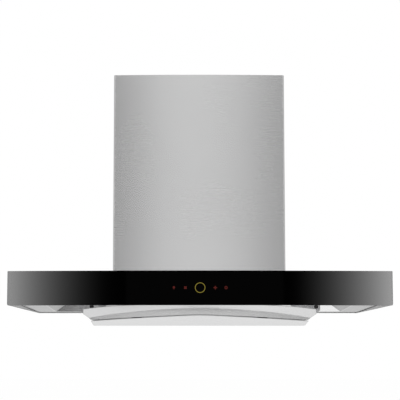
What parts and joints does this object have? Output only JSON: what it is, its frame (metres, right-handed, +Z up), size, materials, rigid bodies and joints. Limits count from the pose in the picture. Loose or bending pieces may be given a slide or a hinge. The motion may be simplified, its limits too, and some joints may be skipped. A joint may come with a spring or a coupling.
{
  "type": "range hood",
  "caption": "Wall-hung range hood with a curved black glass front, steel canopy and chimney, a swing-down deflector, oil cup and blower.",
  "frame": {"origin": "middle of the four wall bolts, on the wall", "axes": "+X to the viewer's right, +Y into the wall, +Z up"},
  "size_m": [0.892, 0.4999, 0.662],
  "materials": {
    "black_glass": "gloss black back-painted",
    "black_plastic": "satin",
    "light_guide": "frosted",
    "circuit_board": "satin",
    "brushed_steel": "horizontal brushed grain",
    "lamp_lens": "frosted",
    "filter_steel": "satin",
    "spring_steel": "bright",
    "magnet": "satin",
    "galvanised": "galvanised",
    "motor_casting": "cast",
    "machined_steel": "machined",
    "collar_plastic": "satin",
    "gasket_rubber": "matte",
    "cup_steel": "satin",
    "capacitor_shell": "gloss"
  },
  "bodies": {
    "hood": {"glass_front": "black_glass", "glass_frame": "black_plastic", "key_light_guides": "light_guide", "touch_board": "circuit_board", "canopy_top": "brushed_steel", "left_skirt": "brushed_steel", "right_skirt": "brushed_steel", "front_rail": "brushed_steel", "rear_rail": "brushed_steel", "cavity_pan": "brushed_steel", "cavity_walls": "brushed_steel", "cavity_roof": "brushed_steel", "inlet_collar": "filter_steel", "lamp_lenses": "lamp_lens", "lamp_housings": "galvanised", "led_boards": "circuit_board", "filter_frame": "filter_steel", "filter_baffles": "filter_steel", "filter_handle": "filter_steel", "filter_clips": "spring_steel", "deflector_tray": "brushed_steel", "hinge_ears": "spring_steel", "hinge_pins": "spring_steel", "catch_magnets": "magnet", "tray_straps": "spring_steel", "strap_knobs": "black_plastic", "knob_rings": "spring_steel", "cup_rails": "galvanised", "chimney_cover": "brushed_steel", "top_plate": "brushed_steel", "back_plate": "galvanised", "wall_bracket": "galvanised", "scroll_band": "galvanised", "scroll_front_plate": "galvanised", "scroll_back_plate": "galvanised", "inlet_bell": "galvanised", "motor_housing": "motor_casting", "motor_end_cover": "motor_casting", "motor_bearings": "machined_steel", "motor_stator": "machined_steel", "scroll_posts": "galvanised", "outlet_duct": "galvanised", "collar_gasket": "gasket_rubber", "duct_collar": "collar_plastic", "flap_pin": "spring_steel", "power_box": "black_plastic", "power_box_lid": "black_plastic", "power_board": "circuit_board", "motor_capacitor": "capacitor_shell", "cord_gland": "black_plastic", "gland_nut": "black_plastic", "sheet_screws": "spring_steel"},
    "impeller": {"impeller": "galvanised", "motor_shaft": "machined_steel", "motor_rotor": "machined_steel"},
    "deflector": {"deflector_panel": "brushed_steel", "catch_plates": "spring_steel"},
    "oil_cup": {"oil_cup": "cup_steel"},
    "front_flap": {"front_damper_flap": "collar_plastic"},
    "rear_flap": {"rear_damper_flap": "collar_plastic"}
  },
  "joints": [
    {"name": "impeller_spin", "type": "hinge", "parent": "hood", "child": "impeller", "pos_m": [-0.058, -0.166, -0.188], "axis": [0, 1, 0], "continuous": true},
    {"name": "deflector_swing", "type": "hinge", "parent": "hood", "child": "deflector", "pos_m": [0, -0.15, -0.51], "axis": [1, 0, 0], "range_deg": [0, 78]},
    {"name": "oil_cup_slide", "type": "slide", "parent": "hood", "child": "oil_cup", "axis": [0, -1, 0], "range_m": [0, 0.048]},
    {"name": "front_flap_hinge", "type": "hinge", "parent": "hood", "child": "front_flap", "pos_m": [0, -0.112, 0.12], "axis": [-1, 0, 0], "range_deg": [0, 75]},
    {"name": "rear_flap_hinge", "type": "hinge", "parent": "hood", "child": "rear_flap", "pos_m": [0, -0.112, 0.12], "axis": [1, 0, 0], "range_deg": [0, 75]}
  ]
}
